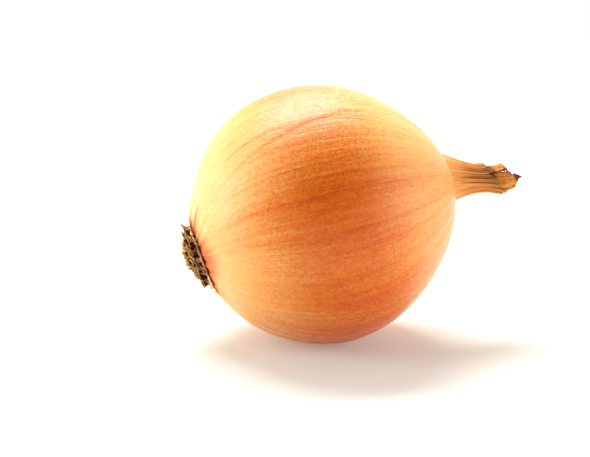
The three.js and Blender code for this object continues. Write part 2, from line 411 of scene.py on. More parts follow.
class Wiring:
    """A short way to lay nodes in one tree."""

    def __init__(self, tree: bpy.types.NodeTree) -> None:
        """Starts work on a tree."""
        self.tree = tree

    def fill(self, node: bpy.types.Node, inputs: dict) -> None:
        """Sets inputs by name or number: a socket is linked, anything else is a constant."""
        for key, value in inputs.items():
            if isinstance(value, Socket):
                self.tree.links.new(value, node.inputs[key])
            else:
                node.inputs[key].default_value = value

    def node(self, kind: str, inputs: dict | None = None, **settings: object) -> bpy.types.Node:
        """Lays a node.

        Args:
            kind: the node's type.
            inputs: what is filled in on it.
            **settings: the node's own properties.

        Returns:
            The new node.
        """
        made = self.tree.nodes.new(kind)
        for key, value in settings.items():
            setattr(made, key, value)
        self.fill(made, inputs or {})
        return made

    def math(self, operation: str, *values: Value) -> Socket:
        """One sum: the operation on one, two or three values."""
        return self.node("ShaderNodeMath", dict(enumerate(values)), operation=operation).outputs[0]

    def vector(self, operation: str, *values: Socket | Numbers) -> bpy.types.Node:
        """One vector sum: the operation on one, two or three vectors."""
        return self.node("ShaderNodeVectorMath", dict(enumerate(values)), operation=operation)

    def weigh(self, *parts: tuple[Socket, float]) -> Socket:
        """The sum of values, each times its own weight."""
        total = 0.0
        for value, weight in parts:
            total = self.math("MULTIPLY_ADD", value, weight, total)
        return total

    def swing(self, noise: Socket, weight: Value, base: Value) -> Socket:
        """A base moved to and fro by a noise: base + weight * (noise - 1/2)."""
        return self.math("MULTIPLY_ADD", self.math("SUBTRACT", noise, 0.5), weight, base)

    def off_middle(self, noise: Socket) -> Socket:
        """How far a noise is from its middle, 1/2: small along thin winding lines."""
        return self.math("ABSOLUTE", self.math("SUBTRACT", noise, 0.5))

    def mix(self, share: Value, first: Paint, second: Paint) -> Socket:
        """A colour: first at share 0, second at share 1."""
        return self.node("ShaderNodeMix", {0: share, 6: first, 7: second}, data_type="RGBA").outputs[2]

    def step(
        self, value: Socket, low: float, high: float, least: Value = 0.0, most: Value = 1.0
    ) -> Socket:
        """A smooth step of a value: least at low, most at high."""
        inputs = {0: value, 1: low, 2: high, 3: least, 4: most}
        return self.node("ShaderNodeMapRange", inputs, interpolation_type="SMOOTHSTEP").outputs[0]

    def noise(
        self, vector: Socket, scale: Value, detail: Value = 2.0, rough: float = 0.5, bend: float = 0.0
    ) -> Socket:
        """Noise at a vector, from 0 to 1."""
        inputs = {"Vector": vector, "Scale": scale, "Detail": detail, "Roughness": rough, "Distortion": bend}
        return self.node("ShaderNodeTexNoise", inputs).outputs["Fac"]

    def ramp(self, share: Socket, *stops: tuple[float, Colour]) -> Socket:
        """Colours along a share from 0 to 1, each stop a place and a colour."""
        made = self.node("ShaderNodeValToRGB", {0: share})
        elements = made.color_ramp.elements
        elements[0].position, elements[0].color = stops[0]
        elements[1].position, elements[1].color = stops[-1]
        for place, colour in stops[1:-1]:
            elements.new(place).color = colour
        return made.outputs[0]

    def bump(self, strength: float, depth: float, height: Socket) -> Socket:
        """The normal of a surface with small relief, its depth in metres."""
        inputs = {"Strength": strength, "Distance": depth, "Height": height}
        return self.node("ShaderNodeBump", inputs).outputs[0]

    def trait(self, name: str, output: str = "Fac") -> Socket:
        """A value that the mesh carries at each point."""
        return self.node("ShaderNodeAttribute", attribute_name=name).outputs[output]

    def place(self) -> Socket:
        """The place on the object, in metres."""
        return self.node("ShaderNodeTexCoord").outputs["Object"]

    def use(self, group: bpy.types.NodeTree, **inputs: Value) -> Socket:
        """Places a shared group, with its inputs as keywords, and gives its one output."""
        return self.node("ShaderNodeGroup", inputs, node_tree=group).outputs[0]


VECTOR_INPUTS = ("Growth", "Place")


def new_group(name: str, inputs: tuple[str, ...], output: str) -> tuple[Wiring, list[Socket]]:
    """Starts a shared group with one value output.

    Args:
        name: the group's name.
        inputs: its inputs' names; those in VECTOR_INPUTS are vectors and the others numbers.
        output: the output's name.

    Returns:
        The wiring of its tree, and a socket for each input.
    """
    tree = bpy.data.node_groups.new(name, "ShaderNodeTree")
    for socket in inputs:
        kind = "NodeSocketVector" if socket in VECTOR_INPUTS else "NodeSocketFloat"
        tree.interface.new_socket(socket, in_out="INPUT", socket_type=kind)
    tree.interface.new_socket(output, in_out="OUTPUT", socket_type="NodeSocketFloat")
    return Wiring(tree), tree.nodes.new("NodeGroupInput").outputs[: len(inputs)]


def close_group(wiring: Wiring, value: Socket) -> bpy.types.NodeTree:
    """Links the group's one output and gives the finished tree."""
    wiring.node("NodeGroupOutput", {0: value})
    return wiring.tree


def fibre_group() -> bpy.types.NodeTree:
    """Noise drawn out along the growing axis: many threads across, each long.

    Its vector is the growth trait, (cos, sin, along), stretched by Across and Along before the
    noise is read, so the threads run from root to neck and close all round.
    """
    roughness = 0.55
    wiring, sockets = new_group("fibres", ("Growth", "Across", "Along", "Detail"), "Fibre")
    growth, across, along, detail = sockets
    stretch = wiring.node("ShaderNodeCombineXYZ", {0: across, 1: across, 2: along}).outputs[0]
    drawn = wiring.vector("MULTIPLY", growth, stretch).outputs[0]
    return close_group(wiring, wiring.noise(drawn, 1.0, detail, roughness))


def grain_group() -> bpy.types.NodeTree:
    """The cells of dry plant tissue: two sizes of noise on the object, fine over coarse."""
    finer, bend = 2.7, 0.4
    wiring, (place, size) = new_group("cells", ("Place", "Size"), "Cell")
    coarse = wiring.noise(place, size, 3.0, 0.6)
    fine = wiring.noise(place, wiring.math("MULTIPLY", size, finer), 2.0, 0.5, bend)
    return close_group(wiring, wiring.weigh((coarse, 0.5), (fine, 0.5)))


def edge_group() -> bpy.types.NodeTree:
    """Torn or worn edges: a step of the edge trait, made ragged by noise on the object."""
    starts, full = 0.35, 0.75
    names = ("Edge", "Place", "Size", "Ragged")
    wiring, (edge, place, size, ragged) = new_group("edges", names, "Mask")
    pushed = wiring.swing(wiring.noise(place, size, 3.0, 0.6), ragged, edge)
    return close_group(wiring, wiring.step(pushed, starts, full))


def honeycomb_group() -> bpy.types.NodeTree:
    """Dead root tissue: pale walls between hollow cells, their places pushed about by noise; the cork finish
    paints shade in the cells.

    The wall is 0 at Width from the edge between two cells and 1 at a fifth of it.
    """
    push_scale, push_reach = 500.0, 0.0011
    wiring, (place, size, width) = new_group("honeycomb", ("Place", "Size", "Width"), "Wall")
    push = wiring.node("ShaderNodeTexNoise", {"Vector": place, "Scale": push_scale}).outputs["Color"]
    pushed = wiring.vector("MULTIPLY_ADD", push, (push_reach,) * 3, place).outputs[0]
    inputs = {"Vector": pushed, "Scale": size}
    cells = wiring.node("ShaderNodeTexVoronoi", inputs, feature="DISTANCE_TO_EDGE")
    share = wiring.math("DIVIDE", cells.outputs["Distance"], width)
    return close_group(wiring, wiring.step(share, 1.0, 0.2))


def vein_group() -> bpy.types.NodeTree:
    """One vein of the skin: a thin line at its own place round the bulb, broken along by noise.

    The mask is Break on the line and 0 at Width to either side of it.
    """
    names = ("Turn", "Middle", "Width", "Break")
    wiring, (turn, middle, width, broken) = new_group("vein", names, "Mask")
    aside = wiring.math("ABSOLUTE", wiring.math("SUBTRACT", turn, middle))
    line = wiring.step(wiring.math("DIVIDE", aside, width), 1.0, 0.0)
    return close_group(wiring, wiring.math("MULTIPLY", line, broken))


@dataclass(frozen=True)
class Effects:
    """The effects that the finishes share."""

    fibres: bpy.types.NodeTree
    cells: bpy.types.NodeTree
    edges: bpy.types.NodeTree
    honeycomb: bpy.types.NodeTree
    vein: bpy.types.NodeTree


def make_effects() -> Effects:
    """Builds each shared group once."""
    return Effects(fibre_group(), grain_group(), edge_group(), honeycomb_group(), vein_group())


def open_material(name: str) -> tuple[bpy.types.Material, Wiring, bpy.types.Node]:
    """Starts a material.

    Args:
        name: the material's name.

    Returns:
        The material, the wiring of its tree, and its Principled shader, linked to the output.
    """
    material = bpy.data.materials.new(name)
    material.use_nodes = True
    material.node_tree.nodes.clear()
    wiring = Wiring(material.node_tree)
    shader = wiring.node("ShaderNodeBsdfPrincipled")
    wiring.node("ShaderNodeOutputMaterial", {"Surface": shader.outputs[0]})
    return material, wiring, shader


# ---- Finishes ------------------------------------------------------------------------------------


@dataclass(frozen=True)
class SkinFinish:
    """The dry outer skin: satin orange paper with meridian streaks, veins and a fine cell grain.

    Colours are linear. Bearings are in degrees round the axis, measured where the bulb is widest,
    and places along the axis in millimetres. A fibre size is Across, Along and Detail. A step is
    low, high and, where they are not 0 and 1, least and most. Each vein is a bearing, a half width
    in degrees and a strength.
    """

    deep: Colour = (0.64, 0.082, 0.002, 1)
    orange: Colour = (0.78, 0.180, 0.010, 1)
    golden: Colour = (0.87, 0.370, 0.084, 1)
    straw: Colour = (0.93, 0.58, 0.215, 1)
    russet: Colour = (0.48, 0.072, 0.006, 1)
    blush: Colour = (0.76, 0.125, 0.020, 1)
    # Umber of the neck's torn end; also the painted shade at the root rim and inside the neck's end.
    umber_and_shade: Colour = (0.085, 0.011, 0.003, 1)
    neck_gold: Colour = (0.80, 0.285, 0.038, 1)
    neck_straw: Colour = (0.90, 0.52, 0.170, 1)
    # Brown of the neck's creases and sides; also painted shade in the grooves of its folds.
    neck_brown_and_shade: Colour = (0.34, 0.088, 0.006, 1)
    roughness: float = 0.27
    hair_roughness: float = 0.22
    gloss: float = 0.32
    sheen: float = 0.04
    sheen_tint: Colour = (1.0, 0.84, 0.62, 1)
    sheen_roughness: float = 0.45
    broad_size: Numbers = (2.6, 0.012, 3.0)
    streak_size: Numbers = (13.0, 0.02, 4.0)
    thread_size: Numbers = (46.0, 0.03, 3.0)
    hair_size: Numbers = (120.0, 0.09, 2.0)
    strand_size: Numbers = (14.0, 0.05, 4.0)
    cell_size: float = 1250.0
    broad_tone: float = 0.20
    streak_tone: float = 0.23
    thread_tone: float = 0.28
    cell_tone: float = 0.80
    paler_rootwards: Numbers = (-1.0, -26.0, 0.085, 0.33)
    paler_neckwards: Numbers = (4.0, 26.0, 0.0, 0.22)
    # Painted light: the upper side of the lying onion is made paler, as though lit from above.
    painted_light_upwards: Numbers = (0.35, 0.90, 0.0, 0.13)
    tone_stops: Numbers = (0.36, 0.51, 0.68, 0.92)
    thread_relief: float = 0.6
    hair_relief: float = 0.25
    cell_relief: float = 1.4
    line_relief: float = 0.12
    relief_strength: float = 0.8
    relief_depth: float = 0.0002
    rim_dries: Numbers = (-31.5, -32.5, 0.0, 0.5)
    neck_dries: Numbers = (34.0, 42.0)
    neck_dryness: float = 0.35
    wander_size: Numbers = (4.0, 0.05, 3.0)
    wander: float = 0.012
    gap_size: Numbers = (9.0, 0.10, 4.0)
    gap_steps: Numbers = (0.36, 0.60)
    lines_start: Numbers = (-32.0, -24.0)
    lines_end: Numbers = (38.0, 30.0)
    faint_stretch: float = 0.014
    faint_width: float = 0.012
    faint_veins: tuple[Numbers, ...] = ((9.0, 0.30), (21.0, 0.22))
    veins: tuple[Numbers, ...] = (
        (54.0, 0.50, 0.85),
        (33.0, 0.40, 0.55),
        (35.2, 0.30, 0.45),
        (19.0, 0.45, 0.75),
        (3.0, 0.55, 0.80),
        (-7.0, 0.35, 0.45),
        (-17.0, 0.45, 0.75),
        (-29.0, 0.35, 0.45),
        (-40.0, 0.50, 0.65),
        (-58.0, 0.40, 0.50),
        (78.0, 0.40, 0.40),
        (104.0, 0.45, 0.60),
        (131.0, 0.45, 0.55),
        (157.0, 0.40, 0.60),
        (-86.0, 0.45, 0.55),
        (-117.0, 0.45, 0.60),
        (-149.0, 0.45, 0.55),
    )
    root_pales: Numbers = (-20.0, -29.0, 0.0, 0.30)
    streak_reach: float = 3.4
    thread_reach: float = 2.0
    flush_reach: float = 2.6
    root_blushes: Numbers = (-31.2, -34.6, 0.0, 0.9)
    rim_reddens: Numbers = (-32.0, -32.5, 0.0, 0.75)
    # Painted shade: the skin's rim goes near black where it rolls into the gap beside the collar.
    painted_rim_shade: Numbers = (-32.5, -32.75, 0.0, 0.97)
    neck_starts: Numbers = (35.5, 37.5)
    strand_bright: Numbers = (0.48, 0.70)
    # How strongly the fold grooves' painted shade counts along the neck.
    fold_shade_grows: Numbers = (36.5, 43.0, 0.25, 1.0)
    strand_depth: float = 2.4
    brown_side_depth: float = 0.50
    depth_steps: Numbers = (0.30, 1.05)
    crease_steps: Numbers = (0.030, 0.0, 0.0, 0.75)
    neck_browns: Numbers = (35.5, 39.5)
    neck_darkens: Numbers = (47.0, 50.5, 0.0, 0.25)

    def material(self, effects: Effects) -> bpy.types.Material:
        """Builds the skin's material from the mesh's traits and its map.

        Args:
            effects: the shared groups.

        Returns:
            The finished material.
        """
        material, wiring, shader = open_material("onion_skin")
        growth = wiring.trait("growth_vector", "Vector")
        upwards, along = wiring.node("ShaderNodeSeparateXYZ", {0: growth}).outputs[1:3]
        chart = wiring.node("ShaderNodeUVMap").outputs[0]
        turn = wiring.node("ShaderNodeSeparateXYZ", {0: chart}).outputs[0]

        def fibres(across: float, stretch: float, detail: float) -> Socket:
            """Threads along the skin."""
            return wiring.use(effects.fibres, Growth=growth, Across=across, Along=stretch, Detail=detail)

        broad, streak = fibres(*self.broad_size), fibres(*self.streak_size)
        thread, hair = fibres(*self.thread_size), fibres(*self.hair_size)
        cells = wiring.use(effects.cells, Place=wiring.place(), Size=self.cell_size)
        tone = wiring.weigh(
            (streak, self.streak_tone), (broad, self.broad_tone), (thread, self.thread_tone)
        )
        tone = wiring.swing(cells, self.cell_tone, tone)
        tone = wiring.math("ADD", tone, wiring.step(along, *self.paler_rootwards))
        tone = wiring.math("ADD", tone, wiring.step(along, *self.paler_neckwards))
        # Painted light: the tone is raised on the onion's upper side, as though lit from above.
        tone = wiring.math("ADD", tone, wiring.step(upwards, *self.painted_light_upwards))
        colours = (self.deep, self.orange, self.golden, self.straw)
        colour = wiring.ramp(tone, *zip(self.tone_stops, colours))
        lines = self.lines(wiring, effects, turn, along, fibres)
        colour = wiring.mix(lines, colour, self.russet)
        colour = self.root_end(wiring, colour, along, streak, thread)
        colour = self.neck(wiring, colour, along, fibres(*self.strand_size))
        rim_dryness = wiring.step(along, *self.rim_dries)
        dryness = wiring.step(along, *self.neck_dries, rim_dryness, self.neck_dryness)
        satin = wiring.swing(hair, self.hair_roughness, self.roughness)
        relief = wiring.weigh(
            (thread, self.thread_relief),
            (hair, self.hair_relief),
            (cells, self.cell_relief),
            (lines, self.line_relief),
        )
        finish = {
            "Base Color": colour,
            "Roughness": wiring.math("ADD", satin, dryness),
            "Specular IOR Level": self.gloss,
            "Sheen Weight": self.sheen,
            "Sheen Tint": self.sheen_tint,
            "Sheen Roughness": self.sheen_roughness,
            "Normal": wiring.bump(self.relief_strength, self.relief_depth, relief),
        }
        wiring.fill(shader, finish)
        return material

    def lines(
        self,
        wiring: Wiring,
        effects: Effects,
        turn: Socket,
        along: Socket,
        fibres: Callable[..., Socket],
    ) -> Socket:
        """The veins: the listed ones, and many faint ones where stretched noise crosses its middle.

        Args:
            wiring: the material's wiring.
            effects: the shared groups.
            turn: the place round the bulb, from 0 to 1.
            along: the place along the axis.
            fibres: makes threads of a given size.

        Returns:
            How strongly a line shows, from 0 to 1.
        """
        wandered = wiring.swing(fibres(*self.wander_size), self.wander, turn)
        gaps = wiring.step(fibres(*self.gap_size), *self.gap_steps)
        total = 0.0
        for bearing, width, strength in self.veins:
            middle = (bearing / 360 + 0.5) % 1
            broken = wiring.math("MULTIPLY", gaps, strength)
            line = wiring.use(effects.vein, Turn=wandered, Middle=middle, Width=width / 360, Break=broken)
            total = wiring.math("MAXIMUM", total, line)
        for across, strength in self.faint_veins:
            crossing = wiring.off_middle(fibres(across, self.faint_stretch, 1.0))
            faint = wiring.step(crossing, self.faint_width, 0.0, 0.0, strength)
            total = wiring.math("MAXIMUM", total, wiring.math("MULTIPLY", faint, gaps))
        starts, ends = wiring.step(along, *self.lines_start), wiring.step(along, *self.lines_end)
        return wiring.math("MULTIPLY", total, wiring.math("MULTIPLY", starts, ends))

    def root_end(
        self, wiring: Wiring, colour: Socket, along: Socket, streak: Socket, thread: Socket
    ) -> Socket:
        """Straw yellow towards the root, then a pink-red blush in short streaks, and painted shade, near
        black, at the rim where the skin rolls in beside the collar.

        Args:
            wiring: the material's wiring.
            colour: the skin's colour so far.
            along: the place along the axis.
            streak: the skin's streaks.
            thread: the skin's threads.

        Returns:
            The new colour.
        """
        colour = wiring.mix(wiring.step(along, *self.root_pales), colour, self.straw)
        reach = wiring.swing(streak, self.streak_reach, along)
        reach = wiring.swing(thread, self.thread_reach, reach)
        reach = wiring.math("MULTIPLY_ADD", wiring.trait("flush"), -self.flush_reach, reach)
        colour = wiring.mix(wiring.step(reach, *self.root_blushes), colour, self.blush)
        colour = wiring.mix(wiring.trait("redness"), colour, self.blush)
        colour = wiring.mix(wiring.step(along, *self.rim_reddens), colour, self.russet)
        # Painted shade: near black at the rim, in the crevice beside the collar.
        return wiring.mix(wiring.step(along, *self.painted_rim_shade), colour, self.umber_and_shade)

    def neck(self, wiring: Wiring, colour: Socket, along: Socket, strand: Socket) -> Socket:
        """A golden neck, brown in its folds and creases and browner towards its end; the brown of the fold
        grooves is partly painted shade, and the hollow inside its end is painted shade.

        Args:
            wiring: the material's wiring.
            colour: the skin's colour so far.
            along: the place along the axis.
            strand: the neck's strands.

        Returns:
            The new colour.
        """
        bright = wiring.mix(wiring.step(strand, *self.strand_bright), self.neck_gold, self.neck_straw)
        colour = wiring.mix(wiring.step(along, *self.neck_starts), colour, bright)
        # Partly painted shade: the geometric fold grooves are browned, on top of the neck's own brown
        # streaks.
        depth = wiring.math("MULTIPLY", wiring.trait("fold"), wiring.step(along, *self.fold_shade_grows))
        depth = wiring.swing(strand, -self.strand_depth, depth)
        depth = wiring.math("MULTIPLY_ADD", wiring.trait("brownness"), self.brown_side_depth, depth)
        crease = wiring.step(wiring.off_middle(strand), *self.crease_steps)
        deep = wiring.math("MAXIMUM", wiring.step(depth, *self.depth_steps), crease)
        brown = wiring.math("MULTIPLY", deep, wiring.step(along, *self.neck_browns))
        colour = wiring.mix(brown, colour, self.neck_brown_and_shade)
        colour = wiring.mix(wiring.step(along, *self.neck_darkens), colour, self.umber_and_shade)
        # Painted shade: the hollow inside the neck's end goes near black.
        return wiring.mix(wiring.trait("hollow"), colour, self.umber_and_shade)


@dataclass(frozen=True)
class CorkFinish:
    """Dry cork and dead root: dull all over, pale on its rims, and near black in its pits, which is painted
    shade over the brown of the cork.

    Sizes are noise scales on the object: the greater, the finer. Wall and foot are how wide the
    honeycomb's pale walls and the lighter ground beside them are.
    """

    name: str
    dark: Colour
    middle: Colour
    pale: Colour
    grain: float = 1300.0
    rim_size: float = 900.0
    rim_ragged: float = 0.45
    honeycomb: float = 500.0
    wall: float = 0.15
    foot: float = 0.50
    flecks: Numbers = (0.44, 0.64)
    paleness: float = 0.8
    pale_flecks: Numbers = (0.36, 0.52)
    dark_flecks: Numbers = (0.45, 0.28, 0.0, 0.8)
    roughness: float = 0.85
    gloss: float = 0.15
    grain_relief: float = 0.5
    relief_strength: float = 0.9
    relief_depth: float = 0.0004

    def material(self, effects: Effects) -> bpy.types.Material:
        """Builds the material; the mesh's edge trait says where the rims are.

        Args:
            effects: the shared groups.

        Returns:
            The finished material.
        """
        material, wiring, shader = open_material(self.name)
        place, edge = wiring.place(), wiring.trait("edge")
        cells = wiring.use(effects.cells, Place=place, Size=self.grain)
        rim = wiring.use(effects.edges, Edge=edge, Place=place, Size=self.rim_size, Ragged=self.rim_ragged)
        wall = wiring.use(effects.honeycomb, Place=place, Size=self.honeycomb, Width=self.wall)
        foot = wiring.use(effects.honeycomb, Place=place, Size=self.honeycomb, Width=self.foot)
        # Painted shade: away from the honeycomb's walls the cork keeps its near black colour, the shade of
        # the pits.
        lighter = wiring.math("MULTIPLY", foot, wiring.step(cells, *self.flecks))
        colour = wiring.mix(lighter, self.dark, self.middle)
        pale = wiring.math("MULTIPLY", wiring.math("MAXIMUM", rim, wall), self.paleness)
        pale = wiring.math("MULTIPLY", pale, wiring.step(cells, *self.pale_flecks))
        colour = wiring.mix(pale, colour, self.pale)
        colour = wiring.mix(wiring.step(cells, *self.dark_flecks), colour, self.dark)
        relief = wiring.weigh((wall, 1.0), (cells, self.grain_relief))
        finish = {
            "Base Color": colour,
            "Roughness": self.roughness,
            "Specular IOR Level": self.gloss,
            "Normal": wiring.bump(self.relief_strength, self.relief_depth, relief),
        }
        wiring.fill(shader, finish)
        return material


@dataclass(frozen=True)
class PaperFinish:
    """Torn dry skin: streaked tan paper with a dark or pale torn edge, and painted shade where it is sunk
    in.
    """

    name: str
    body: Colour
    streak: Colour
    edge: Colour
    # Painted shade, where the sheet goes in under the plate or into the neck.
    painted_shade: Colour = (0.050, 0.012, 0.004, 1)
    fibre_size: Numbers = (9.0, 0.12, 3.0)
    fibre_tone: float = 0.6
    grain: float = 1400.0
    grain_tone: float = 0.4
    streak_steps: Numbers = (0.40, 0.60)
    edge_size: float = 1100.0
    edge_ragged: float = 0.7
    roughness: float = 0.6
    gloss: float = 0.12
    relief_strength: float = 0.7
    relief_depth: float = 0.0003

    def material(self, effects: Effects) -> bpy.types.Material:
        """Builds the material from the mesh's growth, edge and sunk traits; the sunk trait says where shade
        is painted.

        Args:
            effects: the shared groups.

        Returns:
            The finished material.
        """
        material, wiring, shader = open_material(self.name)
        place, growth = wiring.place(), wiring.trait("growth_vector", "Vector")
        across, along, detail = self.fibre_size
        fibre = wiring.use(effects.fibres, Growth=growth, Across=across, Along=along, Detail=detail)
        cells = wiring.use(effects.cells, Place=place, Size=self.grain)
        tone = wiring.weigh((fibre, self.fibre_tone), (cells, self.grain_tone))
        colour = wiring.mix(wiring.step(tone, *self.streak_steps), self.body, self.streak)
        torn = wiring.use(
            effects.edges,
            Edge=wiring.trait("edge"),
            Place=place,
            Size=self.edge_size,
            Ragged=self.edge_ragged,
        )
        colour = wiring.mix(torn, colour, self.edge)
        finish = {
            # Painted shade: the sunk trait darkens the sheet where it goes in under other parts.
            "Base Color": wiring.mix(wiring.trait("sunk"), colour, self.painted_shade),
            "Roughness": self.roughness,
            "Specular IOR Level": self.gloss,
            "Normal": wiring.bump(self.relief_strength, self.relief_depth, tone),
        }
        wiring.fill(shader, finish)
        return material


# ---- The bulb ------------------------------------------------------------------------------------


@dataclass(frozen=True)
class BulbSkin:
    """The bulb and its neck as one dry skin, with its ribs, puckers, folds and torn neck end.

    A patch is a middle and a spread in degrees round the axis, and a height.
    """

    columns: int = 400
    floor_rows: int = 6
    floor_start: float = 0.5
    floor_margin: float = 0.2
    roll_rows: int = 6
    root_rows: int = 62
    root_crowding: float = 1.25
    neck_side_rows: int = 52
    neck_rows: int = 58
    inside_rows: int = 8
    lump_height: float = 0.20
    lumps: Ripple = Ripple(11, 1, 4, 7, 0.03)
    rib_height: float = 0.028
    ribs: Ripple = Ripple(12, 12, 44, 18, 0.008)
    body_start: float = -26.0
    body_end: float = 30.0
    crease_bearing: float = 53.0
    crease_twist: float = 0.30
    crease_step: float = 0.16
    crease_width: float = 0.8
    crease_fade: float = 12.0
    pucker_height: float = 0.22
    pucker_reach: float = 1.8
    crinkles: Ripple = Ripple(13, 14, 40, 16, 0.05)
    fold_count: int = 23
    fold_height: float = 0.55
    fold_warp: float = 1.1
    fold_ripple: Ripple = Ripple(31, 1, 4, 6, 0.05)
    fine_fold_count: int = 61
    fine_warp: float = 1.6
    fine_ripple: Ripple = Ripple(32, 2, 7, 8, 0.08)
    fold_roundness: float = 0.8
    share_change: float = 0.35
    share_ripple: Ripple = Ripple(33, 2, 9, 8, 0.12)
    least_share: float = 0.15
    folds_start: float = -1.5
    folds_full: float = 7.0
    end_slant: float = 1.3
    end_tear: float = 0.60
    end_ripple: Ripple = Ripple(21, 3, 17, 12, 0)
    tear_reach: float = 5.0
    end_flare: float = 0.32
    flare_reach: float = 2.2
    lip: float = 0.30
    lip_round: float = 0.12
    lip_drop: float = 0.02
    hollow_depth: float = 3.0
    hollow_narrowing: float = 0.85
    hollow_rows: int = 4
    twist: float = 0.14
    spoke_redness: float = 0.9
    spokes_start: float = -28.6
    spokes_end: float = -32.0
    spokes: Patches = ((58.0, 4.0, 1.0), (141.0, 3.5, 0.6), (236.0, 4.0, 0.5))
    flushes: Patches = ((2.0, 30.0, 1.0), (165.0, 34.0, 0.6), (260.0, 24.0, 0.4))
    brown_sides: Patches = ((8.0, 48.0, 1.0), (200.0, 60.0, 1.0))
    brown_start: float = 0.5
    brown_full: float = 9.0

    def outline(self, growth: Growth) -> tuple[np.ndarray, np.ndarray]:
        """The smooth outline from the root dimple's middle over the bulb to the inside of the neck.

        The dimple floor is flat and its wall rolls over in a quarter circle; the two halves of the
        bulb are run through by angles, evenly on the neck side and crowded by a power on the root
        side; the neck by equal steps; then the lip turns inwards and the wall goes down into the
        neck.

        Args:
            growth: the onion's sizes.

        Returns:
            The radius and the place along, for each row.
        """
        floor = growth.plate_inner + growth.gap
        floor_end = growth.plate_radius + growth.gap - self.floor_margin
        roll = np.linspace(0, math.pi / 2, self.roll_rows, endpoint=False)
        root_angle = math.acos(growth.rim_radius / growth.bulb_radius)
        neck_angle = math.acos(growth.neck_base_radius / growth.bulb_radius)
        root_share = np.linspace(0, 1, self.root_rows, endpoint=False) ** self.root_crowding
        root_radius = growth.bulb_radius * np.cos(root_angle * (1 - root_share))
        side_radius = growth.bulb_radius * np.cos(np.linspace(0, neck_angle, self.neck_side_rows))
        neck_along = np.linspace(growth.neck_base, growth.neck_end, self.neck_rows + 1)[1:]
        inside = np.linspace(0, 1, self.inside_rows + 1)[1:]
        end_radius, inner_radius = growth.neck_waist_radius, growth.neck_waist_radius - self.lip
        radius = [
            np.linspace(self.floor_start, floor_end, self.floor_rows),
            growth.rim_radius - growth.rim_roll * np.cos(roll),
            root_radius,
            side_radius,
            growth.neck_radius(neck_along),
            [end_radius - self.lip_round, inner_radius],
            inner_radius * (1 - inside**3 * self.hollow_narrowing),
        ]
        along = [
            np.full(self.floor_rows, floor),
            growth.rim_along + growth.rim_roll * (1 - np.sin(roll)),
            -growth.root_reach(root_radius),
            growth.neck_reach(side_radius),
            neck_along,
            [growth.neck_end + self.lip_round, growth.neck_end + self.lip_drop],
            growth.neck_end - self.hollow_depth * inside,
        ]
        return np.concatenate(radius), np.concatenate(along)

    def folds(self, bearing: np.ndarray, along: np.ndarray, growth: Growth) -> np.ndarray:
        """The neck's folds, 0 on a crest and 1 in a groove.

        Each family is 1 - |sin(n b / 2 + w)|^roundness, w a slow warp, so crests are round and
        grooves are sharp. How much the coarse one counts changes round the neck, about a half.

        Args:
            bearing: the bearings, in radians.
            along: the places along the axis.
            growth: the onion's sizes.

        Returns:
            The depth of the folds at each place.
        """
        past = along - growth.neck_base
        warp = self.fold_warp * self.fold_ripple.height(bearing, past)
        fine_warp = self.fine_warp * self.fine_ripple.height(bearing, past)
        coarse = 1 - np.abs(np.sin(self.fold_count * bearing / 2 + warp)) ** self.fold_roundness
        fine = 1 - np.abs(np.sin(self.fine_fold_count * bearing / 2 + fine_warp)) ** self.fold_roundness
        share = 0.5 + self.share_change * self.share_ripple.height(bearing, past)
        return np.clip(share, self.least_share, 1 - self.least_share) * (coarse - fine) + fine

    def relief(self, bearing: np.ndarray, along: np.ndarray, growth: Growth) -> np.ndarray:
        """How far the skin stands out from the smooth outline, in millimetres.

        It adds slow lumps and thin ribs, a step down across the crease that dies away within some
        twenty degrees, and puckers round the root rim that die away as exp(-distance / reach).

        Args:
            bearing: the bearings, in radians.
            along: the places along the axis.
            growth: the onion's sizes.

        Returns:
            The height of the relief at each place.
        """
        body = ease(along, growth.rim_along, self.body_start) * ease(along, growth.neck_base, self.body_end)
        lumps = self.lump_height * self.lumps.height(bearing, along)
        ribs = self.rib_height * self.ribs.height(bearing, along)
        degrees = np.degrees(bearing) - self.crease_bearing - self.crease_twist * along
        aside = (degrees + 180) % 360 - 180
        fade = np.exp(-np.maximum(aside, 0) / self.crease_fade)
        crease = self.crease_step * ease(aside, -self.crease_width, self.crease_width) * fade
        past_rim = np.maximum(along - growth.rim_along, 0)
        crinkle = self.crinkles.height(bearing, along)
        puckers = self.pucker_height * crinkle * np.exp(-past_rim / self.pucker_reach)
        on_rim = ease(along, growth.rim_along - 0.9, growth.rim_along + 0.6)
        return body * (lumps + ribs + crease) + on_rim * puckers

